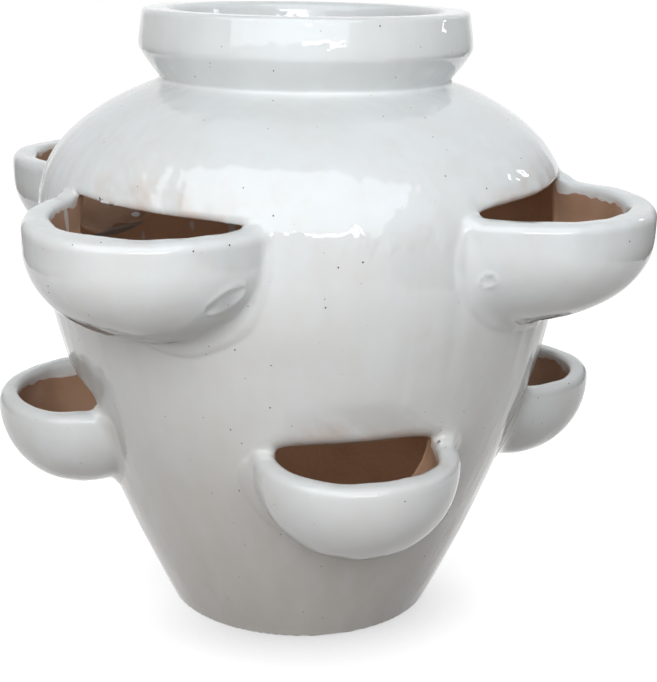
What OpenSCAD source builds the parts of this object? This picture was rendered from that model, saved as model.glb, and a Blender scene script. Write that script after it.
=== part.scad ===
// Strawberry jar: a glazed clay planter with a rolled collar, and two staggered rows of
// four half-cup pockets that open through the wall into the jar.
// The origin is on the ground under the middle of the jar. +Z is up, and -Y is the front.
// The jar is luted together from thrown and moulded pieces: floor, two wall sections,
// collar and eight pockets. All sizes are in millimetres.

/* [Jar] */
// Height from the ground to the top of the collar
jar_h = 350; // [340:1:370]
// Outer radius of the foot
foot_r = 80; // [72:1:90]
// Outer radius of the belly, the widest part of the wall
belly_r = 152; // [146:1:158]
// Height of the belly above the ground
belly_z = 225; // [218:1:235]
// Outer radius of the neck, where the collar sits on the shoulder
neck_r = 81; // [76:1:86]
// Thickness of the thrown wall
wall = 8; // [6:0.5:10]
// Height of the joint between the two wall sections
wall_joint_z = 168; // [160:1:176]
// How full the lower wall bows out: 1 is a straight cone
lower_bow = 1.5; // [1.3:0.05:1.8]
// How far the belly's curve carries up before the shoulder turns in
shoulder_lift = 2.8; // [2.4:0.1:3.2]
// How round the shoulder's top is: lower is flatter
shoulder_round = 0.87; // [0.7:0.01:0.95]

/* [Floor] */
// Thickness of the floor
floor_t = 10; // [8:0.5:14]
// Radius of the worn edge round the foot
foot_edge = 4; // [2:0.5:6]
// Diameter of the drain hole
drain_d = 20; // [12:1:30]

/* [Collar] */
// Height of the collar, from the shoulder to its top
collar_h = 39; // [34:1:44]
// Outer radius of the collar at its widest
collar_r = 94; // [91:0.5:98]
// Height of the widest line above the shoulder
collar_wide_z = 22; // [20:0.5:25]
// Height of the band's lower edge above the shoulder
band_z = 16; // [13:0.5:18]
// How far the band's lower edge stands in from the widest line
band_in = 1.5; // [1:0.5:4]
// How far the collar's top edge stands in from the widest line
top_in = 3.5; // [2:0.5:6]
// Thickness of the rolled lip on top of the collar
lip_w = 15; // [13:0.5:17]

/* [Lower pockets] */
// Outer width of a lower pocket
low_w = 109; // [102:1:114]
// How far a lower pocket stands out from the wall at its rim
low_out = 46.5; // [42:0.5:52]
// Depth of a lower pocket's bowl, front to middle
low_run = 51; // [47:1:56]
// Height of a lower pocket's bowl under its upright lip
low_drop = 49; // [44:1:54]
// Height of a lower pocket's upright lip
low_lip_h = 7; // [5:0.5:9]
// Thickness of a lower pocket
low_t = 12; // [10:0.5:13]
// Height of the lower pockets' rims above the ground
low_rim_z = 133.5; // [128:0.5:138]
// How high the wall's opening arches over the rims in the lower row
low_arch = 6.5; // [5:0.5:10]

/* [Upper pockets] */
// Outer width of an upper pocket
high_w = 132; // [124:1:138]
// How far an upper pocket stands out from the wall at its rim
high_out = 60; // [55:0.5:66]
// Depth of an upper pocket's bowl, front to middle
high_run = 80; // [75:1:84]
// Height of an upper pocket's bowl under its upright lip
high_drop = 49.5; // [46:0.5:54]
// Height of an upper pocket's upright lip
high_lip_h = 15; // [12:0.5:18]
// Thickness of an upper pocket
high_t = 13; // [10:0.5:14]
// Height of the upper pockets' rims above the ground
high_rim_z = 256.5; // [252:0.5:260]
// How high the wall's opening arches over the rims in the upper row
high_arch = 5.5; // [4:0.5:8]

/* [Hidden] */
$fn = 96;
neck_z = jar_h - collar_h;
neck_bore_r = neck_r - wall;
// What a row of pockets is made to, and the place of each size in its list. REACH is the
// distance from the jar's axis to the front of a pocket.
LOW = [low_w, wall_r(low_rim_z) + low_out, low_run, low_drop, low_lip_h, low_t, low_rim_z, low_arch];
HIGH = [high_w, wall_r(high_rim_z) + high_out, high_run, high_drop, high_lip_h, high_t, high_rim_z, high_arch];
WIDTH = 0;
REACH = 1;
RUN = 2;
DROP = 3;
LIP_H = 4;
THICK = 5;
RIM_Z = 6;
ARCH = 7;
row_count = 4;      // pockets in each row
front = -90;        // direction of the front, where the lower row starts
row_turn = 360 / row_count;
wall_step = 12;     // height of one ring of the wall
slope_step = 0.5;   // height over which a slope is measured
arc_steps = 8;      // straight steps in a quarter of an arc
arch_power = 3;     // how square the arch over a pocket is: 2 is an ellipse
cut_over = 1;       // how far a cut runs past a face
GLAZE = [0.93, 0.94, 0.94];

// Outer radius of the wall at height z
function wall_r(z) = z < belly_z
    ? foot_r + (belly_r - foot_r) * (1 - pow(1 - z / belly_z, lower_bow))
    : neck_r + (belly_r - neck_r) * pow(max(0, 1 - pow(shoulder_at(z), shoulder_lift)), shoulder_round);
// How far z is from the belly, 0, to the neck, 1
function shoulder_at(z) = min(1, (z - belly_z) / (neck_z - belly_z));
// Slope of the wall at height z, as radius gained for height
function wall_slope(z) = (wall_r(z) - wall_r(z - slope_step)) / slope_step;
// Inner radius of the wall at height z, one wall's thickness in, square to the surface
function bore_r(z) = max(neck_bore_r, wall_r(z) - wall * sqrt(1 + pow(wall_slope(z), 2)));

// Heights of the rings from z0 to z1, evenly spaced
function even_rings(z0, z1) =
    let (n = ceil((z1 - z0) / wall_step))
    [for (i = [0 : n]) z0 + (z1 - z0) * i / n];
// Heights of the rings from the belly to the neck, closer where the shoulder turns in
function shoulder_rings() =
    [for (i = [1 : 2 * arc_steps]) belly_z + (neck_z - belly_z) * sin(45 * i / arc_steps)];
// The outline of a wall section whose rings are at these heights
function wall_outline(rings) = concat(
    [for (z = rings) [wall_r(z), z]],
    [for (i = [len(rings) - 1 : -1 : 0]) [bore_r(rings[i]), rings[i]]]
);

// Points along an arc of an ellipse round c, from angle a0 to a1
function arc(c, rx, ry, a0, a1) =
    [for (i = [0 : arc_steps]) let (a = a0 + (a1 - a0) * i / arc_steps) c + [rx * cos(a), ry * sin(a)]];
// Points along a quarter of a squared-off ellipse round c, from its side to its top
function squared_arc(c, rx, ry) =
    [for (i = [0 : arc_steps]) let (a = 90 * i / arc_steps)
        c + [rx * pow(max(0, cos(a)), 2 / arch_power), ry * pow(sin(a), 2 / arch_power)]];
function unit(v) = v / norm(v);
// The corner b between a and c, turned into an arc of radius r
function round_corner(a, b, c, r) =
    let (
        u = unit(a - b),
        v = unit(c - b),
        half = acos(u * v) / 2,
        centre = b + unit(u + v) * r / sin(half),
        from = b + u * r / tan(half) - centre,
        to = b + v * r / tan(half) - centre,
        a0 = atan2(from[1], from[0]),
        turn = (atan2(to[1], to[0]) - a0 + 540) % 360 - 180
    )
    arc(centre, r, r, a0, a0 + turn);

// The floor slab, as wide as the wall that stands on it, with a worn foot and a drain hole
module base_floor() {
    color(GLAZE) difference() {
        rotate_extrude() polygon(concat(
            [[0, 0]],
            round_corner([0, 0], [foot_r, 0], [wall_r(floor_t), floor_t], foot_edge),
            [[wall_r(floor_t), floor_t], [0, floor_t]]
        ));
        translate([0, 0, -cut_over]) cylinder(d = drain_d, h = floor_t + 2 * cut_over);
    }
}

// The wall from the floor to the joint, with the lower row's openings
module lower_wall() {
    color(GLAZE) difference() {
        rotate_extrude() polygon(wall_outline(even_rings(floor_t, wall_joint_z)));
        for (i = [0 : row_count - 1]) at_low(i) cavity(LOW);
    }
}

// The wall from the joint over the belly and shoulder to the neck, with the upper openings
module upper_wall() {
    color(GLAZE) difference() {
        rotate_extrude() polygon(wall_outline(concat(even_rings(wall_joint_z, belly_z), shoulder_rings())));
        for (i = [0 : row_count - 1]) at_high(i) cavity(HIGH);
    }
}

// The collar: an undercut neck, a broad band that leans in, and a rolled lip
module collar() {
    neck = [neck_r, neck_z];
    band_foot = [collar_r - band_in, neck_z + band_z];
    wide = [collar_r, neck_z + collar_wide_z];
    top_out = [collar_r - top_in, jar_h];
    top_in_edge = [collar_r - top_in - lip_w, jar_h];
    bore = [neck_bore_r, neck_z];
    band_foot_round = 3;
    wide_round = 16;
    lip_out_round = 0.34 * lip_w;
    lip_in_round = 0.27 * lip_w;
    color(GLAZE) rotate_extrude() polygon(concat(
        [neck],
        round_corner(neck, band_foot, wide, band_foot_round),
        round_corner(band_foot, wide, top_out, wide_round),
        round_corner(wide, top_out, top_in_edge, lip_out_round),
        round_corner(top_out, top_in_edge, bore, lip_in_round),
        [bore]
    ));
}

// Turns what follows to the place of lower pocket i, counted from the front to the right
module at_low(i) rotate(front + row_turn * i) children();
// The same for the upper row, whose pockets stand over the gaps of the lower one
module at_high(i) rotate(front + row_turn * (i + 0.5)) children();

// Spins an outline into a bowl under the rim of a row, stretched to the row's run
module bowl(row, outline) {
    middle = [row[REACH] - row[RUN], 0, row[RIM_Z] - row[LIP_H]];
    stretch = row[RUN] / (row[WIDTH] / 2);
    translate(middle) scale([stretch, 1, 1]) rotate_extrude() polygon(outline);
}

// The hollow of a pocket, which also cuts the opening in the wall and its arch over the rim
module cavity(row) {
    half_w = row[WIDTH] / 2 - row[THICK];
    drop = row[DROP] - row[THICK];
    bowl(row, concat(
        arc([0, 0], half_w, drop, -90, 0),
        squared_arc([0, row[LIP_H]], half_w, row[ARCH])
    ));
}

// Everything inside the outer face of the jar, from below the pockets to above them
module jar_core() {
    core_rings = concat(even_rings(0, belly_z), shoulder_rings());
    rotate_extrude() polygon(concat(
        [for (z = core_rings) [wall_r(z), z]],
        [[0, neck_z], [0, 0]]
    ));
}

// A pocket: a half cup with an upright, rounded lip, cut to the face of the wall
module pocket(row) {
    half_w = row[WIDTH] / 2;
    drop = row[DROP];
    t = row[THICK];
    lip = [half_w - t / 2, row[LIP_H] - t / 2];
    difference() {
        bowl(row, concat(
            arc([0, 0], half_w, drop, -90, 0),
            arc(lip, t / 2, t / 2, 0, 180),
            arc([0, 0], half_w - t, drop - t, 0, -90)
        ));
        jar_core();
    }
}

module lower_pocket(i) color(GLAZE) at_low(i) pocket(LOW);
module upper_pocket(i) color(GLAZE) at_high(i) pocket(HIGH);

base_floor();
lower_wall();
upper_wall();
collar();
lower_pocket(0);  // lower_pocket_front
lower_pocket(1);  // lower_pocket_right
lower_pocket(2);  // lower_pocket_back
lower_pocket(3);  // lower_pocket_left
upper_pocket(0);  // upper_pocket_front_right
upper_pocket(1);  // upper_pocket_back_right
upper_pocket(2);  // upper_pocket_back_left
upper_pocket(3);  // upper_pocket_front_left
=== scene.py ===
"""A glazed strawberry jar: one continuous skin of clay and glaze, cut into the pieces it was luted from.

The clay is described by distance fields in millimetres: negative inside, positive outside. The outer
skin and the hollow are built from the sizes of the CAD solids, blended where clay was smeared into a
joint, meshed once, and then cut at the joints so that each CAD node has its own closed piece.
"""
import math
from collections import namedtuple

import bpy
import numpy as np
from mathutils import Matrix, Vector
from mathutils.geometry import tessellate_polygon


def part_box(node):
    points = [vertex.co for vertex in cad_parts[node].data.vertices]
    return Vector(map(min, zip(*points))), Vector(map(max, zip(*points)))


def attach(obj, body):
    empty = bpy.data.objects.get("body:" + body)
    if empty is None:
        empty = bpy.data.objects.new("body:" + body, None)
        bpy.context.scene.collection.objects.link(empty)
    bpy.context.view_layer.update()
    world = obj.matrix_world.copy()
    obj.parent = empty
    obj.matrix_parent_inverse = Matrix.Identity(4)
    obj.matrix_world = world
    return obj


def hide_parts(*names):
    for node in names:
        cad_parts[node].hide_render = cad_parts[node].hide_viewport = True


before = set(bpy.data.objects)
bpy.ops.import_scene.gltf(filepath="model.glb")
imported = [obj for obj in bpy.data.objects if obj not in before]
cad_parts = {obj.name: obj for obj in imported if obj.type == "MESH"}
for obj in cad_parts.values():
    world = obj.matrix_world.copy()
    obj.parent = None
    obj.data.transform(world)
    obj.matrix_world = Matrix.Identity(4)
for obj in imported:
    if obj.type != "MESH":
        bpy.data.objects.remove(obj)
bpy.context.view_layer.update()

MM = 0.001


def corners_mm(node):
    """Lowest and highest corner of a CAD node, in millimetres."""
    return [np.array(corner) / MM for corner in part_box(node)]


# ---------------------------------------------------------------- sizes, from the frame
FLOOR_TOP = corners_mm("base_floor")[1][2]
JOINT_Z = corners_mm("lower_wall")[1][2]
BELLY_R = corners_mm("upper_wall")[1][0]
NECK_Z = corners_mm("collar")[0][2]
JAR_H = corners_mm("collar")[1][2]
COLLAR_R = corners_mm("collar")[1][0]
LOW_LO, LOW_HI = corners_mm("lower_pocket_front")
LOW_REACH = corners_mm("lower_pocket_right")[1][0]
HIGH_RIM_Z = corners_mm("upper_pocket_back_right")[1][2]

# What the boxes don't tell, the same as in the CAD model or close to it.
FOOT_R = 80.4
BELLY_Z = 225.0
NECK_R = 81.0
MOUTH_R = 76.0         # the bore at the top of the collar
WALL = 8.0
LOWER_BOW = 1.5        # how full the lower wall bows out: 1 is a straight cone
SHOULDER_LIFT = 3.0    # how far the belly's curve carries up
SHOULDER_ROUND = 0.87  # how round the shoulder's top is: lower is flatter
DRAIN_R = 10.0
HIGH_WIDTH = 132.0
HIGH_REACH = 208.2     # from the jar's axis to the front of an upper pocket
INSET = 0.4            # the skin stands this far inside the CAD box, which leaves room for its waves


# ---------------------------------------------------------------- the jar's outlines
Z_STEP = 0.25
Z_PAST = 40.0         # how far the outlines go on under the foot and over the collar
BAND_RISE = 17.6      # from the neck to the crease under the collar's band
BAND_OUT = 0.4        # how far the band stands out past the CAD collar before its crease is eased
BAND_LEAN = 3.0       # how far the band leans in
BAND_LEAN_PAST = 6.0  # how far over the collar's top that lean would end
UNDERCUT_BOW = 0.25   # how full the undercut bows out: 0 is a straight cone
HEIGHTS = np.arange(-Z_PAST, JAR_H + Z_PAST, Z_STEP)


def ramp(value, start, end):
    """0 before start and 1 past end, with a smooth rise between."""
    t = np.clip((value - start) / (end - start), 0, 1)
    return t * t * (3 - 2 * t)


def body_radius(z):
    """Outer radius of the wall from the foot to the neck, by the CAD model's formula."""
    lower = FOOT_R + (BELLY_R - FOOT_R) * (1 - np.clip(1 - z / BELLY_Z, 0, 1) ** LOWER_BOW)
    up = np.clip((z - BELLY_Z) / (NECK_Z - BELLY_Z), 0, 1)
    shoulder = NECK_R + (BELLY_R - NECK_R) * (1 - up ** SHOULDER_LIFT) ** SHOULDER_ROUND
    return np.where(z < BELLY_Z, lower, shoulder)


def eased(values, spread):
    """A profile with its corners eased over about this many millimetres."""
    reach = int(4 * spread / Z_STEP)
    kernel = np.exp(-0.5 * (np.arange(-reach, reach + 1) * Z_STEP / spread) ** 2)
    return np.convolve(np.pad(values, reach, mode="edge"), kernel / kernel.sum(), "valid")


def profiles():
    """Outer radius and bore radius at each of HEIGHTS."""
    body = body_radius(np.maximum(HEIGHTS, 0))
    under = np.clip((HEIGHTS - NECK_Z) / BAND_RISE, 0, 1)
    bowed = (1 + UNDERCUT_BOW) * under - UNDERCUT_BOW * under ** 2
    undercut = NECK_R + (COLLAR_R - NECK_R) * bowed
    lean = BAND_LEAN * ramp(HEIGHTS, NECK_Z + BAND_RISE, JAR_H + BAND_LEAN_PAST)
    band = COLLAR_R + BAND_OUT - lean
    outer = np.where(HEIGHTS < NECK_Z, body, np.where(under < 1, undercut, band))
    thick = WALL * np.sqrt(1 + np.gradient(body, Z_STEP) ** 2)
    bore = np.maximum(NECK_R - WALL, body - thick)
    neck_bore = np.interp(HEIGHTS, [NECK_Z, JAR_H], [NECK_R - WALL, MOUTH_R])
    bore = np.where(HEIGHTS > NECK_Z - WALL / 2, neck_bore, bore)
    return eased(outer, spread=1.3), eased(bore, spread=2.0)


OUTER, BORE = profiles()
OUTER_TILT = 1 / np.sqrt(1 + np.gradient(OUTER, Z_STEP) ** 2)
BORE_TILT = 1 / np.sqrt(1 + np.gradient(BORE, Z_STEP) ** 2)


# ---------------------------------------------------------------- the rows of pockets
POCKETS = 4                # in each row
TURN_STEP = 360 / POCKETS  # degrees from one pocket of a row to the next

# How a hand-made pocket differs from a perfect one, in millimetres where nothing else is said:
#   turn   degrees that it is set off round the jar
#   lift   how far it is lifted
#   lean   how far more its outer lip is lifted
#   climb  how much its rim climbs for each millimetre counterclockwise
#   bulge  how much higher its counterclockwise half stands
#   arch   how high the wall's opening arches over the rim
#   slant  how much higher the opening is outside than inside, for each millimetre of the wall
#   dent   how deep the wall over it is pressed in
#   scoop  how deep the wall is scooped out along the opening's edge: below 0 it flares out
WHIMS = ("turn", "lift", "lean", "climb", "bulge", "arch", "slant", "dent", "scoop")
Whims = namedtuple("Whims", WHIMS, defaults=[0.0] * len(WHIMS))


class Row:
    """One row of pockets, with sizes in millimetres and the first pocket's direction in degrees from +X.

    A pocket reaches this far from the jar's axis and runs this far past its own middle. Its bowl drops
    this far under an upright lip. The glaze loss is how much thinner the glaze looks over its opening.
    """

    def __init__(self, wall, nodes, first, width, reach, run, drop, lip, thick, rim, glaze_loss, whims):
        self.wall = wall
        self.nodes = nodes
        self.first = first
        self.half = width / 2
        self.run = run
        self.middle = reach - run
        self.drop = drop
        self.lip = lip
        self.thick = thick
        self.inner_run = run - thick * run / self.half
        self.inner_half = self.half - thick
        self.rim = rim
        self.glaze_loss = glaze_loss
        self.whims = Whims(*np.array(whims).T)
        self.wall_at_rim = np.interp(rim, HEIGHTS, OUTER)


LOW = Row(
    wall="lower_wall",
    nodes=["lower_pocket_front", "lower_pocket_right", "lower_pocket_back", "lower_pocket_left"],
    first=-90.0,
    width=LOW_HI[0] - LOW_LO[0] - 2 * INSET,
    reach=LOW_REACH - INSET,
    run=51.0,
    drop=49.0,
    lip=7.0,
    thick=12.0,
    rim=LOW_HI[2],
    glaze_loss=3.2,
    whims=(
        Whims(lean=-0.8, climb=0.003, arch=4.8, slant=0.45, dent=0.6, scoop=0.6),
        Whims(turn=-2.5, lift=1.2, lean=1.6, arch=5.5, slant=0.7, dent=1.2, scoop=1.5),
        Whims(turn=0.8, climb=-0.01, arch=6.0, slant=0.5, dent=1.6, scoop=1.0),
        Whims(lift=3.1, lean=-2.2, climb=-0.03, arch=7.5, slant=0.6, dent=0.2, scoop=-0.4),
    ),
)
HIGH = Row(
    wall="upper_wall",
    nodes=["upper_pocket_front_right", "upper_pocket_back_right",
           "upper_pocket_back_left", "upper_pocket_front_left"],
    first=-45.0,
    width=HIGH_WIDTH - 2 * INSET,
    reach=HIGH_REACH - INSET,
    run=80.0,
    drop=49.5,
    lip=15.0,
    thick=13.0,
    rim=HIGH_RIM_Z,
    glaze_loss=1.4,
    whims=(
        Whims(lean=0.4, climb=0.012, bulge=1.8, arch=4.2, slant=0.45, dent=0.7, scoop=0.6),
        Whims(turn=0.6, climb=0.012, arch=5.0, slant=0.6, dent=1.2, scoop=1.5),
        Whims(lean=0.5, climb=-0.01, arch=4.0, slant=0.5, dent=1.0, scoop=1.0),
        Whims(turn=-0.4, lean=-1.0, climb=-0.03, arch=1.0, slant=0.45, dent=0.7, scoop=0.5),
    ),
)


# ---------------------------------------------------------------- distance fields
def join(a, b, blend):
    """Two solids as one, with a fillet of clay about as wide as blend in their corner."""
    share = np.clip(0.5 + 0.5 * (b - a) / blend, 0, 1)
    return b + (a - b) * share - blend * share * (1 - share)


def meet(a, b, blend):
    """What two solids share, with its edge rounded over about blend."""
    return -join(-a, -b, blend)


def ellipsoid(x, y, z, a, b, c, power=2.0):
    """About the distance to an ellipsoid with these half axes, whose top is squared off by power."""
    flat = np.sqrt((x / a) ** 2 + (y / b) ** 2) + 1e-6
    flat_steep = np.sqrt((x / a ** 2) ** 2 + (y / b ** 2) ** 2) / flat + 1e-6
    tall = np.abs(z) / c
    size = (flat ** power + tall ** power) ** (1 / power)
    steep = np.hypot(flat ** (power - 1) * flat_steep, tall ** (power - 1) / c) * size ** (1 - power)
    return (size - 1) / (steep + 1e-9)


def wander(points, size, seed, waves=6):
    """A smooth random field, about -1 to 1, whose lumps are about size across."""
    rng = np.random.default_rng(seed)
    total = np.zeros(len(points))
    for _ in range(waves):
        way = rng.normal(size=3)
        way *= rng.uniform(0.7, 1.4) * math.pi / (size * np.linalg.norm(way))
        total += np.sin(points @ way + rng.uniform(0, 2 * math.pi))
    return total / math.sqrt(1.3 * waves)


def polar(points):
    """(radius, angle in degrees) of points round the jar's axis."""
    x, y, _ = points.T
    return np.hypot(x, y), np.degrees(np.arctan2(y, x))


class Place:
    """Where points lie as seen from the row's nearest pocket: out, across and height over its rim."""

    def __init__(self, row, points):
        radius, angle = polar(points)
        number = np.round((angle - row.first) / TURN_STEP)
        self.index = number.astype(int) % POCKETS
        turn = np.radians(angle - row.first - TURN_STEP * number - row.whims.turn[self.index])
        self.out = radius * np.cos(turn) - row.middle
        self.across = radius * np.sin(turn)
        wall = np.sqrt(np.maximum(row.wall_at_rim ** 2 - self.across ** 2, 1.0))
        self.from_wall = self.out + row.middle - wall
        flat = points * (1, 1, 0)
        self.rough = 0.35 * wander(flat, size=26.0, seed=11, waves=4)
        self.rough += 0.2 * wander(flat, size=9.0, seed=12, waves=3)
        lift = row.whims.lift[self.index] + row.whims.lean[self.index] * ramp(self.out, 0, row.run)
        lift += row.whims.climb[self.index] * self.across
        lift += row.whims.bulge[self.index] * ramp(self.across, 0, 0.8 * row.half)
        self.over_rim = points[:, 2] - row.rim - lift - self.rough


LIP_BLEND = 6.0     # how round the pockets' lips are
ARCH_POWER = 3.0    # how square the wall's openings are over the rims: 2 is an ellipse
SLANT_SPREAD = 0.8  # how far a slanted opening spreads to the sides too, as a share of its rise
CAVITY_ROUGH = 1.2  # how much of the rims' roughness the cavities have


def pocket_fields(row, at):
    """(solid bowl, its cavity with the wall's opening, its bare side) of the row's nearest pocket."""
    below = np.minimum(at.over_rim + row.lip, 0)
    side = ellipsoid(at.out, at.across, below, row.run, row.half, row.drop)
    bowl = meet(side, at.over_rim, LIP_BLEND)
    inner = (row.inner_run, row.inner_half)
    inside = ellipsoid(at.out, at.across, below, *inner, row.drop - row.thick)
    through = np.clip(at.from_wall + WALL / 2, -WALL, WALL)
    cut = row.whims.slant[at.index] * through * ramp(at.over_rim, 0, 3)
    over = np.maximum(at.over_rim - cut, 0)
    across = at.across / (1 + SLANT_SPREAD * np.maximum(cut, 0) / row.inner_half)
    arch = ellipsoid(at.out, across, over, *inner, row.whims.arch[at.index], ARCH_POWER)
    arch = np.maximum(arch, ellipsoid(at.out, across, 0.0, *inner, 1.0))
    return bowl, np.where(over > 0, arch, inside) + CAVITY_ROUGH * at.rough, side


DENT_HEIGHT = 24.0   # of the pressed place over an opening
DENT_FOOT = 4.0      # how high over the rim its middle is
SCOOP_REACH = 12.0   # how far the scoop goes on past the opening's edge
RIDGE_HEIGHT = 0.35  # of the slanted ridge that thumbs left in the dent
RIDGE_ACROSS = 0.8   # the ridge lies where this share of the place across, and the next of the height
RIDGE_UP = 0.9       # over the rim,
RIDGE_OFF = 6.0      # come to this much together
RIDGE_HALF = 2.0     # half its width
RIDGE_FADE = 5.0     # over which its sides run out


def thumbed(row, at):
    """How deep the wall is pressed in over the row's nearest opening."""
    up = (at.over_rim - DENT_FOOT) / DENT_HEIGHT
    depth = 1 - np.sqrt((at.across / row.half) ** 2 + up ** 2)
    from_ridge = np.abs(at.across * RIDGE_ACROSS - RIDGE_OFF + RIDGE_UP * at.over_rim) - RIDGE_HALF
    ridge = RIDGE_HEIGHT * (1 - ramp(from_ridge, 0, RIDGE_FADE)) * ramp(depth, 0, 0.3)
    beside = np.maximum(np.abs(at.across) - row.half + row.thick + 2.0, 0)
    above = np.maximum(at.over_rim - 1.0, 0)
    near = np.maximum(1 - (beside ** 2 + above ** 2) / SCOOP_REACH ** 2, 0)
    scoop = row.whims.scoop[at.index] * near * ramp(at.over_rim, -7.0, 0.0)
    return row.whims.dent[at.index] * ramp(depth, -0.25, 0.8) + scoop - ridge


LUMP_R = 4.4
LUMP_UNDER_RIM = 3.4
LUMP_FROM_WALL = 0.5


def tip_lumps(row, at):
    """Lumps of clay thumbed over the two ends of the row's nearest rim, where they meet the wall."""
    across = np.abs(at.across) - row.half + LUMP_R + 1.0
    out = at.from_wall - LUMP_FROM_WALL
    smaller = 0.5 * (at.across < 0) + 0.3 * (at.index % 2)
    return np.sqrt(across ** 2 + out ** 2 + (at.over_rim + LUMP_UNDER_RIM) ** 2) - (LUMP_R - smaller)


# Ovals that fingers left in a pocket's wet clay: the two foci, and the two distances to them in all.
PRINTS = (
    ((-81.4, -152.4, 219.5), (-64.2, -149.0, 228.5), 23.3),
    ((58.2, -146.3, 225.5), (62.6, -147.7, 227.0), 9.0),
)
PRINT_EDGE = 0.4        # height of the clay that was pushed up round an oval
PRINT_EDGE_WIDTH = 2.2
PRINT_DEPTH = 0.25


def prints(points):
    """How far the clay is raised along the edges of the ovals, or sunk inside them."""
    raised = 0
    for first, second, length in PRINTS:
        both = np.linalg.norm(points - first, axis=1) + np.linalg.norm(points - second, axis=1)
        past = both - length
        edge = PRINT_EDGE * np.exp(-(past / PRINT_EDGE_WIDTH) ** 2)
        raised = raised + edge - PRINT_DEPTH * (1 - ramp(past, -7, 0))
    return raised


RUN_DEPTH = 0.2                 # of the runs of glaze over the belly
RUN_COUNTS = (23, 31, 44, 57)   # waves round the jar that the runs are summed from
COAT_DEPTH = 0.28               # of the thick coat over them
DRIP_EDGE_Z = 250.0             # where that coat ends
DRIP_COUNTS = (29, 47, 71, 97)  # waves round the jar that its dripping edge is summed from


def glaze_runs(angle, z):
    """Thickness of the glaze that ran over the belly before it set, and of the thick coat over it."""
    way = np.radians(angle)
    wave = sum(np.sin(k * way + 1.7 * k + 0.02 * z) for k in RUN_COUNTS) / 2.0
    drip = sum(np.sin(k * way + 0.6 * k) for k in DRIP_COUNTS) / 2.0
    edge = DRIP_EDGE_Z + 3.0 * wave + 4.0 * drip
    coat = COAT_DEPTH * ramp(z, edge - 6.0, edge) * (1 - ramp(z, edge + 8.0, edge + 45.0))
    return RUN_DEPTH * wave * ramp(z, 130, 215) * (1 - ramp(z, 255, 290)) + coat


TOP_ROUND = 2.4         # how round the collar's outer top edge is
FOOT_ROUND = 1.2
FLOOR_FILLET = 8.0      # inside, between the floor and the wall
SMEAR_OUT = 3.0         # how far from a pocket's side the clay round it was smeared
SMEAR_MORE = 4.0        # and how much further where it was smeared most
SMEAR_TOP = 4.0         # how far under the rim the smeared clay ends
SMEAR_ROUND = 6.0       # how round its upper corners are
SMEAR_RISE = 0.7        # its thickness on the jar
SMEAR_EDGE = 2.0        # how round its edge is
SMEAR_BLEND = 1.5       # how wide its fillet on the jar is
SMEAR_BLEND_MORE = 2.0  # and how much wider where it was smeared most
JOINT_BLEND = 3.0       # how wide a pocket's own fillet on the jar is
JOINT_BLEND_MORE = 5.0  # and how much wider where the clay was smeared most
LUMP_BLEND = 4.0
HOLLOW_BLEND = 3.0      # how round the corners between the bore and the cavities are
EDGE_ROUND = 4.0        # how round the edges of the mouth and of the openings are
DRAIN_ROUND = 2.0


def smeared(side, at):
    """The clay that was smeared round the row's nearest pocket."""
    return meet(side - SMEAR_OUT, at.over_rim + SMEAR_TOP, SMEAR_ROUND)


def skins(points):
    """(field of the clay, jar's outer face alone, outer skin, hollow) at points."""
    z = points[:, 2]
    radius, angle = polar(points)
    low, high = Place(LOW, points), Place(HIGH, points)
    jar = (radius - np.interp(z, HEIGHTS, OUTER)) * np.interp(z, HEIGHTS, OUTER_TILT)
    jar += thumbed(LOW, low) + thumbed(HIGH, high) - glaze_runs(angle, z)
    sway = 0.4 * wander(points, size=62.0, seed=1)
    throwing_rings = 0.1 * wander(points * (0.4, 0.4, 1), size=12.0, seed=2)
    jar += sway + throwing_rings
    body = meet(meet(jar, z - JAR_H, TOP_ROUND), -z, FOOT_ROUND)
    bore = (radius - np.interp(z, HEIGHTS, BORE)) * np.interp(z, HEIGHTS, BORE_TILT)
    bore = meet(bore + 0.5 * wander(points, size=30.0, seed=5), FLOOR_TOP - z, FLOOR_FILLET)
    low_bowl, low_cavity, low_side = pocket_fields(LOW, low)
    high_bowl, high_cavity, high_side = pocket_fields(HIGH, high)
    bowl = np.minimum(low_bowl, high_bowl)
    sides = np.minimum(smeared(low_side, low), smeared(high_side, high))
    lumps = np.minimum(tip_lumps(LOW, low), tip_lumps(HIGH, high))
    soft = ramp(wander(points, size=45.0, seed=6), -0.6, 0.8)
    smear = meet(sides - SMEAR_MORE * soft, jar - SMEAR_RISE, SMEAR_EDGE)
    outside = join(body, smear, SMEAR_BLEND + SMEAR_BLEND_MORE * soft)
    outside = join(outside, bowl, JOINT_BLEND + JOINT_BLEND_MORE * soft)
    outside = join(outside, lumps, LUMP_BLEND) - prints(points)
    hollow = join(join(bore, low_cavity, HOLLOW_BLEND), high_cavity, HOLLOW_BLEND)
    clay = meet(outside, -hollow, EDGE_ROUND)
    clay = np.where(z < 3 * FLOOR_TOP, meet(clay, DRAIN_R - radius, DRAIN_ROUND), clay)
    return clay, jar, outside, hollow


def clay(points):
    return skins(points)[0]


# ---------------------------------------------------------------- meshing
CELL = 2.0
CORNERS = np.array([(1, -1, -1), (-1, -1, 1), (-1, 1, -1), (1, 1, 1)])  # of a tetrahedron


def slope(points, step=0.25):
    """The clay field's gradient at points."""
    return sum(corner * clay(points + corner * step)[:, None] for corner in CORNERS) / (4 * step)


LEAST_STEEP = 0.05  # a squared gradient below this counts as this much


def onto_skin(points, rounds):
    """Moves points along the field's gradient until they lie on the clay's skin."""
    for _ in range(rounds):
        grad = slope(points)
        away = clay(points) / np.maximum((grad ** 2).sum(1), LEAST_STEEP)
        points = points - grad * np.clip(away, -CELL, CELL)[:, None]
    return points


COARSE = 4        # grid steps between the points of a first, coarse look
NEAR_SKIN = 11.0  # the field is worked out on the fine grid where it is below this, in millimetres


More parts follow.
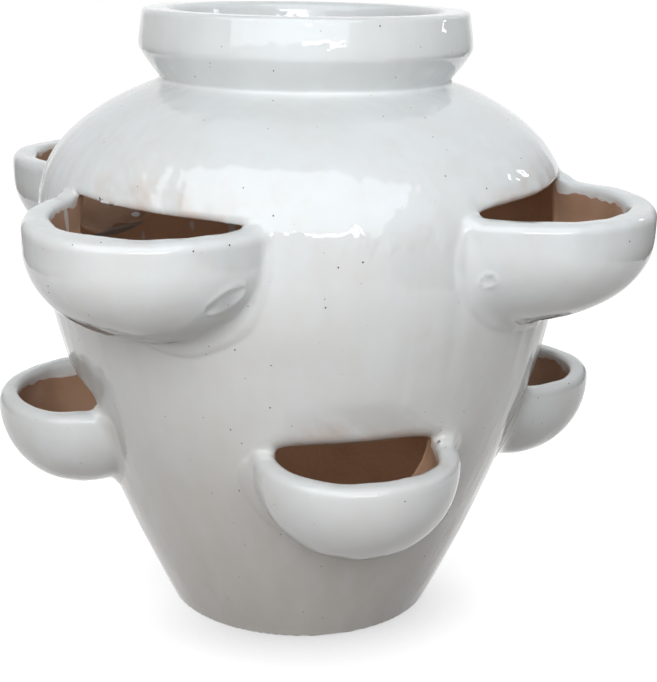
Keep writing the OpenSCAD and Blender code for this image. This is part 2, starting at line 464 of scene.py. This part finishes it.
def sampled_field(low, counts):
    """The clay field on a grid of points, exact near the skin and roughly right elsewhere."""
    rough_counts = counts // COARSE + 2
    rough = clay(low + CELL * COARSE * np.argwhere(np.ones(rough_counts, bool))).reshape(rough_counts)
    grid = rough[np.ix_(*[(np.arange(n) + COARSE // 2) // COARSE for n in counts])].copy()
    near = np.abs(grid) < NEAR_SKIN
    grid[near] = clay(low + CELL * np.argwhere(near))
    return grid


def net_over(grid, low):
    """(points, quads): one point in each cell that the skin crosses, joined across each crossed edge."""
    inside = grid < 0
    nx, ny, nz = np.array(grid.shape) - 1
    filled = sum(
        inside[i:nx + i, j:ny + j, k:nz + k].astype(np.uint8)
        for i in (0, 1) for j in (0, 1) for k in (0, 1)
    )
    crossed = (filled > 0) & (filled < 8)
    number = np.full(crossed.shape, -1, np.int32)
    cells = np.argwhere(crossed)
    number[crossed] = np.arange(len(cells))
    quads = []
    for axis in range(3):
        here, there = [slice(1, -1)] * 3, [slice(1, -1)] * 3
        here[axis], there[axis] = slice(0, -1), slice(1, None)
        change = inside[tuple(here)] != inside[tuple(there)]
        edges = np.argwhere(change) + 1
        edges[:, axis] -= 1
        u, v = (axis + 1) % 3, (axis + 2) % 3
        ring = []
        for du, dv in ((1, 1), (0, 1), (0, 0), (1, 0)):
            cell = edges.copy()
            cell[:, u] -= du
            cell[:, v] -= dv
            ring.append(number[cell[:, 0], cell[:, 1], cell[:, 2]])
        quad = np.stack(ring, 1)
        backward = ~inside[tuple(here)][change]
        quad[backward] = quad[backward][:, ::-1]
        quads.append(quad)
    return low + CELL * (cells + 0.5), np.concatenate(quads)


EVEN_SHARE = 0.7  # how much of the way to its neighbours' mean a point goes in one round


def evened(points, quads, rounds):
    """Spreads the points evenly over the skin."""
    sides = np.concatenate([quads[:, [i, (i + 1) % 4]] for i in range(4)])
    start, end = np.concatenate([sides, sides[:, ::-1]]).T
    count = np.bincount(start, minlength=len(points))[:, None]
    for _ in range(rounds):
        mean = np.stack([np.bincount(start, points[end, i], len(points)) for i in range(3)], 1) / count
        normal = slope(points)
        normal /= np.linalg.norm(normal, axis=1)[:, None] + 1e-9
        move = mean - points
        move -= normal * (move * normal).sum(1)[:, None]
        points = onto_skin(points + EVEN_SHARE * move, 1)
    return points


POCKETS_PAST_BELLY = 30.0  # no pocket stands out further along X or Y past the belly
MARGIN = 3 * CELL          # of the grid round the jar


def skin_mesh():
    """(points, triangles) of the whole jar's skin."""
    reach = BELLY_R + POCKETS_PAST_BELLY + MARGIN
    low = np.array([-reach, -reach, -MARGIN])
    counts = np.ceil((np.array([reach, reach, JAR_H + MARGIN]) - low) / CELL).astype(int) + 1
    points, quads = net_over(sampled_field(low, counts), low)
    points = evened(onto_skin(points, 3), quads, 3)
    short = (np.linalg.norm(points[quads[:, 0]] - points[quads[:, 2]], axis=1)
             < np.linalg.norm(points[quads[:, 1]] - points[quads[:, 3]], axis=1))
    a, b, c, d = quads.T
    first = np.where(short[:, None], np.stack([a, b, c], 1), np.stack([a, b, d], 1))
    second = np.where(short[:, None], np.stack([a, c, d], 1), np.stack([b, c, d], 1))
    return points, np.concatenate([first, second])


# ---------------------------------------------------------------- cutting the skin into pieces
LINE_SNAP = 0.08  # a cut this near a corner, as a share of the side, goes through the corner


def cut_mesh(points, tris, level):
    """Cuts triangles where level is 0. Returns points, triangles, and which triangles are above 0."""
    above = level[tris] > 0
    count = above.sum(1)
    whole = (count == 0) | (count == 3)
    mixed = np.flatnonzero(~whole)
    lone_is_above = count[mixed] == 1
    lone = np.where(lone_is_above, np.argmax(above[mixed], 1), np.argmin(above[mixed], 1))
    rows = tris[mixed]
    pick = np.arange(len(mixed))
    a, b, c = [rows[pick, (lone + i) % 3] for i in range(3)]
    sides = np.sort(np.concatenate([np.stack([a, b], 1), np.stack([a, c], 1)]), axis=1)
    unique, where = np.unique(sides, axis=0, return_inverse=True)
    start, end = unique.T
    share = level[start] / (level[start] - level[end])
    added = points[start] + (points[end] - points[start]) * share[:, None]
    ids = len(points) + np.arange(len(unique))
    ids = np.where(share < LINE_SNAP, start, np.where(share > 1 - LINE_SNAP, end, ids))
    p, q = ids[where.ravel()].reshape(2, -1)
    pieces = np.concatenate([np.stack([a, p, q], 1), np.stack([p, b, c], 1), np.stack([p, c, q], 1)])
    sides_above = np.concatenate([lone_is_above, ~lone_is_above, ~lone_is_above])
    real = (pieces != np.roll(pieces, 1, axis=1)).all(1)
    tris_out = np.concatenate([tris[whole], pieces[real]])
    above_out = np.concatenate([count[whole] == 3, sides_above[real]])
    return np.concatenate([points, added]), tris_out, above_out


def open_loops(tris):
    """The closed loops of point numbers round the open edges of triangles, running as their faces do."""
    edges = np.concatenate([tris[:, [0, 1]], tris[:, [1, 2]], tris[:, [2, 0]]]).astype(np.int64)
    size = int(edges.max()) + 1
    keys, where = np.unique(edges.min(1) * size + edges.max(1), return_inverse=True)
    ways = np.sign(edges[:, 1] - edges[:, 0])
    spare = np.bincount(where, weights=ways, minlength=len(keys)).astype(int)
    follow = {}
    for key, count in zip(keys[spare != 0].tolist(), spare[spare != 0].tolist()):
        start, end = divmod(key, size) if count > 0 else divmod(key, size)[::-1]
        follow.setdefault(start, []).extend([end] * abs(count))
    loops = []
    while follow:
        first = next(iter(follow))
        loop = [first]
        while True:
            ends = follow[loop[-1]]
            following = ends.pop()
            if not ends:
                del follow[loop[-1]]
            if following == first:
                break
            loop.append(following)
        loops.append(loop)
    return loops


def cap_over(loops, flat):
    """Triangles over the area between loops, wound to close the mesh that they bound.

    Flat holds the place in a plane of each numbered point.
    """
    order = [number for loop in loops for number in loop]
    outlines = [[Vector((*flat[number], 0.0)) for number in loop] for loop in loops]
    tris = np.array([[order[i] for i in tri] for tri in tessellate_polygon(outlines)])
    wanted = {(end, start) for loop in loops for start, end in zip(loop, loop[1:] + loop[:1])}
    agree = sum(
        ((a, b) in wanted) + ((b, c) in wanted) + ((c, a) in wanted)
        - ((b, a) in wanted) - ((c, b) in wanted) - ((a, c) in wanted)
        for a, b, c in tris.tolist()
    )
    return tris if agree > 0 else tris[:, ::-1]


JOINT_LINE = 0.35       # a pocket starts where the skin stands this far proud of the jar's own face
FLOOR_JOINT_RISE = 3.0  # how much higher the floor's joint is inside the jar, on the floor's fillet


def cut_into_nodes(points, tris):
    """(points, {node: skin triangles})."""
    jar = skins(points)[1]
    points, tris, is_pocket = cut_mesh(points, tris, jar - JOINT_LINE)
    skin = {}
    wall = tris[~is_pocket]
    pockets = tris[is_pocket]
    middle = points[pockets].mean(1)
    angle = polar(middle)[1]
    for row in (LOW, HIGH):
        in_row = (middle[:, 2] < JOINT_Z) == (row is LOW)
        nearest = np.round((angle - row.first) / TURN_STEP).astype(int) % POCKETS
        for i, node in enumerate(row.nodes):
            skin[node] = pockets[in_row & (nearest == i)]
    levels = (
        ("base_floor", FLOOR_TOP, FLOOR_JOINT_RISE),
        ("lower_wall", JOINT_Z, 0.0),
        ("upper_wall", NECK_Z, 0.0),
    )
    for node, height, inner_rise in levels:
        deep = ramp(-skins(points)[1], 2.0, 6.0)
        points, wall, above = cut_mesh(points, wall, points[:, 2] - height - inner_rise * deep)
        skin[node] = wall[~above]
        wall = wall[above]
    skin["collar"] = wall
    return points, skin


def unrolled(points, row, i):
    """Points on the wall round the row's pocket i, laid out in a plane."""
    angle = np.arctan2(points[:, 1], points[:, 0])
    turn = (angle - math.radians(row.first + TURN_STEP * i) + math.pi) % (2 * math.pi) - math.pi
    return np.stack([turn * BELLY_R, points[:, 2]], 1)


def close_pieces(points, skin):
    """Cap triangles of each node's piece, shared by the two pieces at each joint."""
    caps = {node: [] for node in skin}
    for row in (LOW, HIGH):
        for i, node in enumerate(row.nodes):
            cap = cap_over(open_loops(skin[node]), unrolled(points, row, i))
            caps[node].append(cap)
            caps[row.wall].append(cap[:, ::-1])
    stack = ["base_floor", "lower_wall", "upper_wall", "collar"]
    for under, over in zip(stack, stack[1:]):
        shared = set(skin[under].ravel().tolist()) & set(skin[over].ravel().tolist())
        loops = [loop for loop in open_loops(skin[under]) if set(loop) <= shared]
        cap = cap_over(loops, points[:, :2])
        caps[under].append(cap)
        caps[over].append(cap[:, ::-1])
    return {node: np.concatenate(parts) for node, parts in caps.items()}


# ---------------------------------------------------------------- where the glaze lies
POCKET_GLAZE = 3.4    # how far the glaze runs down inside a pocket
LIP_GLAZE = 3.2       # how far it wraps round the wall's cut edges
LEAST_GLAZE = 0.5     # what is left where it ran thin over an opening
NECK_GLAZE_Z = 285.0  # how far down it comes inside the neck
LIP_LINE_R = 78.6     # where it has drawn back from the collar's inner edge
LIP_LINE_LOSS = 3.0   # and by how much at most
DRIP_HALF = 3.5       # half the width of the runs inside the neck
NECK_DRIPS = ((128, 60), (96, 25), (150, 46), (74, 50), (-70, 40), (-118, 55))  # degrees, length
SPILL_HALF = 2.4      # half the width of the lines below, at their start
SPILL_TAPER = 0.9     # and how much less it is at their end
SPILLS = (            # lines of glaze that ran down inside a pocket, from one point to another
    ((-86.0, 121.0, 211.0), (-82.0, 114.0, 197.0)),
    ((-140.6, -68.4, 251.0), (-139.0, -67.5, 242.0)),
    ((-18.6, 139.7, 200.0), (-18.6, 139.7, 194.0)),
    ((-47.2, 132.9, 201.0), (-47.0, 133.0, 197.0)),
)


def in_neck_drips(points):
    """Millimetres inside the nearest run of glaze inside the neck."""
    z = points[:, 2]
    angle = polar(points)[1]
    inside = []
    for turn, length in NECK_DRIPS:
        off = np.radians((angle - turn + 180) % 360 - 180) * BELLY_R + 3.0 * np.sin(z / 17.0 + turn)
        end = NECK_GLAZE_Z - length
        inside.append(DRIP_HALF - np.hypot(off, np.maximum(end - z, 0)))
    return np.max(inside, axis=0)


def in_spills(points):
    """Millimetres inside the nearest line of glaze inside a pocket."""
    inside = []
    for start, end in SPILLS:
        along = np.array(end) - start
        share = np.clip((points - start) @ along / (along @ along), 0, 1)
        away = np.linalg.norm(points - start - share[:, None] * along, axis=1)
        inside.append(SPILL_HALF - SPILL_TAPER * share - away)
    return np.max(inside, axis=0)


def surface_marks(points):
    """(glaze, seam) at points: millimetres inside the glaze's edge, and outside the pockets' joints."""
    _, jar, outside, _ = skins(points)
    z = points[:, 2]
    edge = 1.6 * wander(points, size=14.0, seed=3) + 0.8 * wander(points, size=5.0, seed=4)
    rim = np.where(z < JOINT_Z, LOW.rim, HIGH.rim)
    in_pocket = np.minimum(POCKET_GLAZE - (rim - z), jar + 3.0)
    in_neck = np.maximum(z - NECK_GLAZE_Z + 3.0 * edge, in_neck_drips(points))
    glaze = np.maximum(np.maximum(outside + LIP_GLAZE, in_pocket + edge), in_neck)
    on_wall = 1 - ramp(jar, 0.5, 2.0)
    for row in (LOW, HIGH):
        at = Place(row, points)
        over_opening = 1 - np.hypot(at.across / row.half, (at.over_rim - 2.0) / 22.0)
        thinned = glaze - row.glaze_loss * ramp(over_opening, 0.0, 0.7) * on_wall
        glaze = np.where(glaze > LEAST_GLAZE, np.maximum(thinned, LEAST_GLAZE), glaze)
    glaze = np.maximum(glaze, in_spills(points) + 0.3 * edge)
    from_line = np.hypot(polar(points)[0] - LIP_LINE_R, z - JAR_H)
    glaze -= LIP_LINE_LOSS * (1 - ramp(from_line, 0.8, 2.4)) * ramp(edge, -2.5, 0.0)
    return glaze, jar


# ---------------------------------------------------------------- pieces
def make_piece(node, material, skin, caps, points, normals, marks):
    """The mesh object that stands for one CAD node."""
    tris = np.concatenate([skin, caps])
    used, local = np.unique(tris, return_inverse=True)
    local = local.reshape(-1, 3)
    mesh = bpy.data.meshes.new(node)
    mesh.vertices.add(len(used))
    mesh.vertices.foreach_set("co", (points[used] * MM).ravel())
    mesh.loops.add(local.size)
    mesh.loops.foreach_set("vertex_index", local.ravel())
    mesh.polygons.add(len(local))
    mesh.polygons.foreach_set("loop_start", np.arange(0, local.size, 3))
    mesh.update(calc_edges=True)
    a, b, c = [points[caps[:, i]] for i in range(3)]
    flat = np.cross(b - a, c - a)
    flat /= np.linalg.norm(flat, axis=1)[:, None] + 1e-12
    corner_normals = np.concatenate([normals[skin].reshape(-1, 3), np.repeat(flat, 3, axis=0)])
    mesh.normals_split_custom_set(corner_normals)
    for name, values in marks.items():
        mesh.attributes.new(name, "FLOAT", "POINT").data.foreach_set("value", values[used])
    mesh.materials.append(material)
    piece = bpy.data.objects.new(node + "_clay", mesh)
    bpy.context.collection.objects.link(piece)
    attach(piece, "root")
    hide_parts(node)
    return piece


# ---------------------------------------------------------------- materials
def new_material(name):
    material = bpy.data.materials.new(name)
    material.use_nodes = True
    tree = material.node_tree
    return material, tree, tree.nodes["Principled BSDF"]


def add_node(tree, kind, settings=(), **inputs):
    """A node with some of its settings and input values."""
    node = tree.nodes.new("ShaderNode" + kind)
    for key, value in dict(settings).items():
        setattr(node, key, value)
    for key, value in inputs.items():
        node.inputs[key.replace("_", " ")].default_value = value
    return node


def object_place(tree):
    """The place on the object, in metres."""
    return add_node(tree, "TexCoord").outputs["Object"]


def coordinate(tree, place, axis):
    """One of the three coordinates of a place."""
    node = add_node(tree, "SeparateXYZ")
    tree.links.new(place, node.inputs["Vector"])
    return node.outputs[axis]


def attribute(tree, name):
    return add_node(tree, "Attribute", {"attribute_name": name}).outputs["Fac"]


def noise(tree, place, size, detail=2.0, roughness=0.5):
    """A noise whose lumps are about size metres across."""
    node = add_node(tree, "TexNoise", Scale=1 / size, Detail=detail, Roughness=roughness)
    tree.links.new(place, node.inputs["Vector"])
    return node.outputs["Fac"]


def stepped(tree, value, low, high, start=0.0, end=1.0):
    """start below low, end above high, with a smooth rise between."""
    node = add_node(tree, "MapRange", {"interpolation_type": "SMOOTHSTEP"})
    for name, number in (("From Min", low), ("From Max", high), ("To Min", start), ("To Max", end)):
        node.inputs[name].default_value = number
    tree.links.new(value, node.inputs["Value"])
    return node.outputs["Result"]


def mixed(tree, share, first, second):
    """A colour between two others, which are colours or sockets."""
    node = add_node(tree, "Mix", {"data_type": "RGBA"})
    tree.links.new(share, node.inputs["Factor"])
    for name, colour in (("A", first), ("B", second)):
        if isinstance(colour, tuple):
            node.inputs[name].default_value = (*colour, 1)
        else:
            tree.links.new(colour, node.inputs[name])
    return node.outputs["Result"]


def maths(tree, operation, first, second):
    """Two values, which are numbers or sockets, put together by a math node."""
    node = add_node(tree, "Math", {"operation": operation})
    for place, value in zip(node.inputs, (first, second)):
        if isinstance(value, float):
            place.default_value = value
        else:
            tree.links.new(value, place)
    return node.outputs["Value"]


def times(tree, first, second):
    return maths(tree, "MULTIPLY", first, second)


CLAY = (0.37, 0.222, 0.145)
DARK_CLAY = (0.31, 0.178, 0.108)
# painted light: the paler clay that stands deep inside the jar
PAINTED_LIGHT_INNER_CLAY = (0.55, 0.33, 0.195)
GLAZE = (0.645, 0.665, 0.67)
WARM_GLAZE = (0.62, 0.625, 0.615)
# painted shade: the grey that the glaze low on the wall is mixed towards
PAINTED_SHADE_GLAZE = (0.51, 0.475, 0.435)
THIN_GLAZE = (0.56, 0.45, 0.39)
PINHOLE = (0.10, 0.08, 0.07)
PINHOLE_SPACING = 1 / 170.0  # metres between the places where a pinhole may be
PINHOLE_RARITY = 0.35        # the share of those places that have none
PINHOLE_GROWTH = 0.13        # how fast the radius grows with a place's chance past that share
RUN_STRETCH = 0.12           # the place along Z counts only this much in the noise of the runs


def clay_colour(tree, place, seam):
    """Bare clay, with painted light that makes it paler deep inside the jar."""
    mottled = stepped(tree, noise(tree, place, 0.03, 3.0), 0.35, 0.65)
    # painted light: the clay deep inside the jar is painted paler, as if lit
    deep = stepped(tree, seam, -8.5, -4.0, 1.0, 0.0)
    return mixed(tree, deep, mixed(tree, mottled, CLAY, DARK_CLAY), PAINTED_LIGHT_INNER_CLAY)


def glaze_colour(tree, place, runs, glaze, seam):
    """White glaze that pooled, with painted shade that greys it low on the wall and less on the pockets,
    and with the clay showing where it is thin.
    """
    pooled = stepped(tree, noise(tree, place, 0.05, 3.0, 0.6), 0.3, 0.7)
    white = mixed(tree, pooled, GLAZE, WARM_GLAZE)
    # painted shade: the wall's glaze turns greyer towards the bottom, the pockets' glaze less so, and
    # streaks in the glaze break it up
    painted_shade_off_pockets = stepped(tree, seam, 0.5, 6.0, 1.0, 0.25)
    painted_shade_low = stepped(tree, coordinate(tree, place, "Z"), 0.0, 0.29, 1.0, 0.0)
    streaks = stepped(tree, noise(tree, runs, 0.014, 2.0), 0.25, 0.75, 0.75, 1.0)
    white = mixed(tree, times(tree, times(tree, painted_shade_off_pockets, painted_shade_low), streaks), white, PAINTED_SHADE_GLAZE)
    thin = stepped(tree, glaze, 0.4, 4.0, 0.75, 0.0)
    patches = stepped(tree, noise(tree, place, 0.012), 0.3, 0.7)
    return mixed(tree, times(tree, thin, patches), white, THIN_GLAZE)


def pinholes(tree, place):
    """1 in the glaze's pinholes, else 0."""
    cells = add_node(tree, "TexVoronoi", Scale=1 / PINHOLE_SPACING)
    tree.links.new(place, cells.inputs["Vector"])
    chance = add_node(tree, "SeparateColor")
    tree.links.new(cells.outputs["Color"], chance.inputs["Color"])
    size = times(tree, maths(tree, "ADD", chance.outputs["Red"], -PINHOLE_RARITY), PINHOLE_GROWTH)
    return maths(tree, "LESS_THAN", cells.outputs["Distance"], size)


def glaze_relief(tree, place, runs, glaze, hole):
    """The surface's normal: grainy clay, glaze that swells and ran, and pinholes."""
    grain = times(tree, noise(tree, place, 0.0035, 2.0), stepped(tree, glaze, -1.0, 1.0, 0.6, 0.05))
    swell = maths(tree, "ADD", noise(tree, place, 0.016, 2.0), noise(tree, runs, 0.011, 1.0))
    height = maths(tree, "SUBTRACT", maths(tree, "ADD", grain, swell), times(tree, hole, 0.6))
    bump = add_node(tree, "Bump", Strength=0.4, Distance=0.0012)
    tree.links.new(height, bump.inputs["Height"])
    return bump.outputs["Normal"]


def glazed_clay(name):
    """White glaze over brown clay: the glaze ends where the mesh's glaze attribute falls below 0."""
    material, tree, shader = new_material(name)
    link = tree.links.new
    place = object_place(tree)
    stretch = add_node(tree, "Mapping", Scale=(1, 1, RUN_STRETCH))
    link(place, stretch.inputs["Vector"])
    runs = stretch.outputs["Vector"]
    glaze = attribute(tree, "glaze")
    seam = attribute(tree, "seam")
    cover = stepped(tree, glaze, -0.5, 0.5)
    hole = pinholes(tree, place)
    white = mixed(tree, hole, glaze_colour(tree, place, runs, glaze, seam), PINHOLE)
    link(mixed(tree, cover, clay_colour(tree, place, seam), white), shader.inputs["Base Color"])
    rough = add_node(tree, "Mix")
    rough.inputs["A"].default_value = 0.85
    link(cover, rough.inputs["Factor"])
    link(stepped(tree, noise(tree, place, 0.02, 2.0), 0.3, 0.7, 0.02, 0.05), rough.inputs["B"])
    link(rough.outputs["Result"], shader.inputs["Roughness"])
    shader.inputs["Specular IOR Level"].default_value = 0.55
    link(glaze_relief(tree, place, runs, glaze, hole), shader.inputs["Normal"])
    return material


# ---------------------------------------------------------------- floor, cards, lamps and camera
PHOTO_SIDE = math.radians(-13.0)  # the photograph looks at the jar from this far round from its front


def towards(azimuth, elevation):
    """The direction at this azimuth from the photograph's side, towards its right, and elevation."""
    az, el = math.radians(azimuth) + PHOTO_SIDE, math.radians(elevation)
    return Vector((math.sin(az) * math.cos(el), -math.cos(az) * math.cos(el), math.sin(el)))


def seen_directly(tree):
    """1 for rays from the camera and for those seen in gloss and glass, else 0."""
    rays = add_node(tree, "LightPath").outputs
    seen = maths(tree, "MAXIMUM", rays["Is Camera Ray"], rays["Is Glossy Ray"])
    return maths(tree, "MAXIMUM", seen, rays["Is Transmission Ray"])


def add_sheet(name, corners, material):
    """A flat sheet with four corners, which is part of the stage."""
    mesh = bpy.data.meshes.new(name)
    mesh.from_pydata(corners, [], [(0, 1, 2, 3)])
    mesh.materials.append(material)
    sheet = bpy.data.objects.new(name, mesh)
    bpy.context.collection.objects.link(sheet)
    return sheet


FLOOR_HALF = 6.0
FLOOR_BOUNCE = (0.12, 0.10, 0.085)  # the colour that the floor lights the jar with
FLOOR_SHADE = (0.12, 0.12, 0.12)    # how much of the lamps' light shows on the floor
CONTACT_REACH = 0.075               # how far from the jar the floor is shaded
CONTACT_DARK = 0.48                 # how dark it is under the jar


def add_floor():
    """A floor that looks white with the jar's soft shadow on it, and gives back a dim warm light."""
    corners = [(x * FLOOR_HALF, y * FLOOR_HALF, 0) for x, y in ((-1, -1), (1, -1), (1, 1), (-1, 1))]
    material, tree, shader = new_material("white_floor")
    link = tree.links.new
    shader.inputs["Base Color"].default_value = (*FLOOR_BOUNCE, 1)
    shader.inputs["Roughness"].default_value = 1.0
    shader.inputs["Specular IOR Level"].default_value = 0.0
    shaded = add_node(tree, "BsdfDiffuse", Color=(*FLOOR_SHADE, 1))
    contact = add_node(tree, "AmbientOcclusion", {"samples": 8}, Distance=CONTACT_REACH)
    dark = stepped(tree, contact.outputs["AO"], 0.1, 0.85, CONTACT_DARK, 0.0)
    less_behind = stepped(tree, coordinate(tree, object_place(tree), "Y"), -0.08, 0.0, 1.0, 0.42)
    glow = add_node(tree, "Emission")
    link(maths(tree, "SUBTRACT", 1.0, times(tree, dark, less_behind)), glow.inputs["Strength"])
    white = add_node(tree, "AddShader")
    link(shaded.outputs["BSDF"], white.inputs[0])
    link(glow.outputs["Emission"], white.inputs[1])
    choose = add_node(tree, "MixShader")
    link(seen_directly(tree), choose.inputs["Fac"])
    link(shader.outputs["BSDF"], choose.inputs[1])
    link(white.outputs["Shader"], choose.inputs[2])
    link(choose.outputs["Shader"], tree.nodes["Material Output"].inputs["Surface"])
    return add_sheet("floor", corners, material)


CARD_FOOT = 0.09  # how high a card hangs over the floor, which it would otherwise darken
CARD_BROWN = (0.12, 0.09, 0.07)


def add_card(name, azimuth, distance, width, height, solid):
    """A brown card with soft edges that faces the jar from one side, and darkens that side of it."""
    left, right = -width / 2, width / 2
    corners = [(left, 0, CARD_FOOT), (right, 0, CARD_FOOT), (right, 0, height), (left, 0, height)]
    material, tree, shader = new_material(name)
    shader.inputs["Base Color"].default_value = (*CARD_BROWN, 1)
    shader.inputs["Roughness"].default_value = 1.0
    place = object_place(tree)
    aside = maths(tree, "ABSOLUTE", coordinate(tree, place, "X"), 1.0)
    sides = stepped(tree, aside, 0.3 * width, width / 2, solid, 0.0)
    top = stepped(tree, coordinate(tree, place, "Z"), 0.2 * height, height, 1.0, 0.0)
    tree.links.new(times(tree, sides, top), shader.inputs["Alpha"])
    card = add_sheet(name, corners, material)
    card.location = towards(azimuth, 0) * distance
    card.rotation_euler = (0, 0, math.radians(azimuth) + PHOTO_SIDE)
    card.visible_camera = False
    return card


# Name, azimuth in degrees, distance, width and height in metres, and how solid the card is.
CARDS = (
    ("right_card", 88, 0.46, 1.6, 0.6, 1.0),
    ("left_card", -90, 0.46, 1.4, 0.5, 0.8),
)

AIM = Vector((0, 0, 0.2))  # the jar's middle, which every lamp faces


def add_lamp(name, azimuth, elevation, distance, width, height, power, colour, use):
    """A rectangular lamp that faces the jar. Its use is "light", unseen, or "gloss", only mirrored."""
    data = bpy.data.lights.new(name, "AREA")
    data.shape = "RECTANGLE"
    data.size, data.size_y = width, height
    data.energy = power
    data.color = colour
    lamp = bpy.data.objects.new(name, data)
    way = towards(azimuth, elevation)
    lamp.location = AIM + way * distance
    lamp.rotation_euler = way.to_track_quat("Z", "Y").to_euler()
    lamp.visible_diffuse = use == "light"
    lamp.visible_glossy = use == "gloss"
    bpy.context.collection.objects.link(lamp)
    return lamp


SKY = (0.88, 0.95, 1.0)
COOL = (0.93, 0.97, 1.0)
DAYLIGHT = (0.95, 0.98, 1.0)
WHITE = (1.0, 1.0, 1.0)
# Name, azimuth and elevation in degrees, distance, width and height in metres, watts, colour, use.
LAMPS = (
    ("window", -10, 45, 1.5, 2.7, 1.8, 34, SKY, "gloss"),
    ("sky", -10, 45, 1.5, 2.7, 1.8, 7.0, SKY, "light"),
    ("key", -17, 30, 1.3, 0.7, 0.7, 10.8, DAYLIGHT, "light"),
    ("left_fill", -32, 3, 1.1, 0.9, 0.6, 3.1, WHITE, "light"),
    ("right_fill", 42, 26, 1.3, 1.0, 0.8, 8.8, COOL, "light"),
    ("back_left", -150, 30, 1.5, 1.6, 1.0, 13, COOL, "light"),
    ("back_right", 140, 30, 1.5, 1.6, 1.0, 13, COOL, "light"),
    ("bright_strip", 11, 15, 1.5, 0.8, 0.08, 2.8, WHITE, "gloss"),
    ("right_spot", 100, 26, 0.44, 0.05, 0.04, 0.045, WHITE, "gloss"),
)

WORLD_BLUE = (0.92, 0.96, 1.0)
WORLD_LIGHT = 0.10


def add_world():
    """White to the eye, and a dim even light on the jar."""
    world = bpy.data.worlds.new("studio")
    bpy.context.scene.world = world
    world.use_nodes = True
    tree = world.node_tree
    light = tree.nodes["Background"]
    light.inputs["Color"].default_value = (*WORLD_BLUE, 1)
    light.inputs["Strength"].default_value = WORLD_LIGHT
    white = add_node(tree, "Background", Color=(1, 1, 1, 1))
    choose = add_node(tree, "MixShader")
    tree.links.new(seen_directly(tree), choose.inputs["Fac"])
    tree.links.new(light.outputs["Background"], choose.inputs[1])
    tree.links.new(white.outputs["Background"], choose.inputs[2])
    tree.links.new(choose.outputs["Shader"], tree.nodes["World Output"].inputs["Surface"])


# The photograph's camera, found by fitting the jar's rims, pockets and outline in the picture.
CAMERA_PLACE = (0, -0.770, 0.3878)  # in metres, before the turn to the photograph's side
CAMERA_YAW, CAMERA_PITCH, CAMERA_ROLL = 1.16, 16.82, 0.97
SENSOR_MM = 36.0
PHOTO_HEIGHT_PX = 682.0
FOCAL_PX = 1332.0


def add_camera():
    yaw, pitch, roll = [math.radians(turn) for turn in (CAMERA_YAW, CAMERA_PITCH, CAMERA_ROLL)]
    ahead = Vector((math.sin(yaw) * math.cos(pitch), math.cos(yaw) * math.cos(pitch), -math.sin(pitch)))
    right = Vector((math.cos(yaw), -math.sin(yaw), 0))
    up = right.cross(ahead)
    side = right * math.cos(roll) + up * math.sin(roll)
    top = up * math.cos(roll) - right * math.sin(roll)
    turn = Matrix.Rotation(PHOTO_SIDE, 4, "Z")
    axes = Matrix((side, top, -ahead)).transposed().to_4x4()
    data = bpy.data.cameras.new("photo_camera")
    data.sensor_fit = "VERTICAL"
    data.sensor_height = SENSOR_MM
    data.lens = SENSOR_MM * FOCAL_PX / PHOTO_HEIGHT_PX
    camera = bpy.data.objects.new("photo_camera", data)
    camera.matrix_world = turn @ Matrix.Translation(CAMERA_PLACE) @ axes
    bpy.context.collection.objects.link(camera)
    bpy.context.scene.camera = camera
    return camera


def add_jar():
    """The jar's skin, meshed and cut into one piece for each CAD node."""
    materials = {"white_glaze": glazed_clay("white_glaze"), "foot_glaze": glazed_clay("foot_glaze")}
    points, skin = cut_into_nodes(*skin_mesh())
    caps = close_pieces(points, skin)
    normals = slope(points)
    normals /= np.linalg.norm(normals, axis=1)[:, None] + 1e-9
    marks = dict(zip(("glaze", "seam"), surface_marks(points)))
    for node in skin:
        slot = "foot_glaze" if node == "base_floor" else "white_glaze"
        make_piece(node, materials[slot], skin[node], caps[node], points, normals, marks)


add_camera()
add_floor()
add_world()
for lamp in LAMPS:
    add_lamp(*lamp)
for card in CARDS:
    add_card(*card)
add_jar()
bpy.context.scene.view_settings.view_transform = "Standard"
bpy.context.view_layer.update()
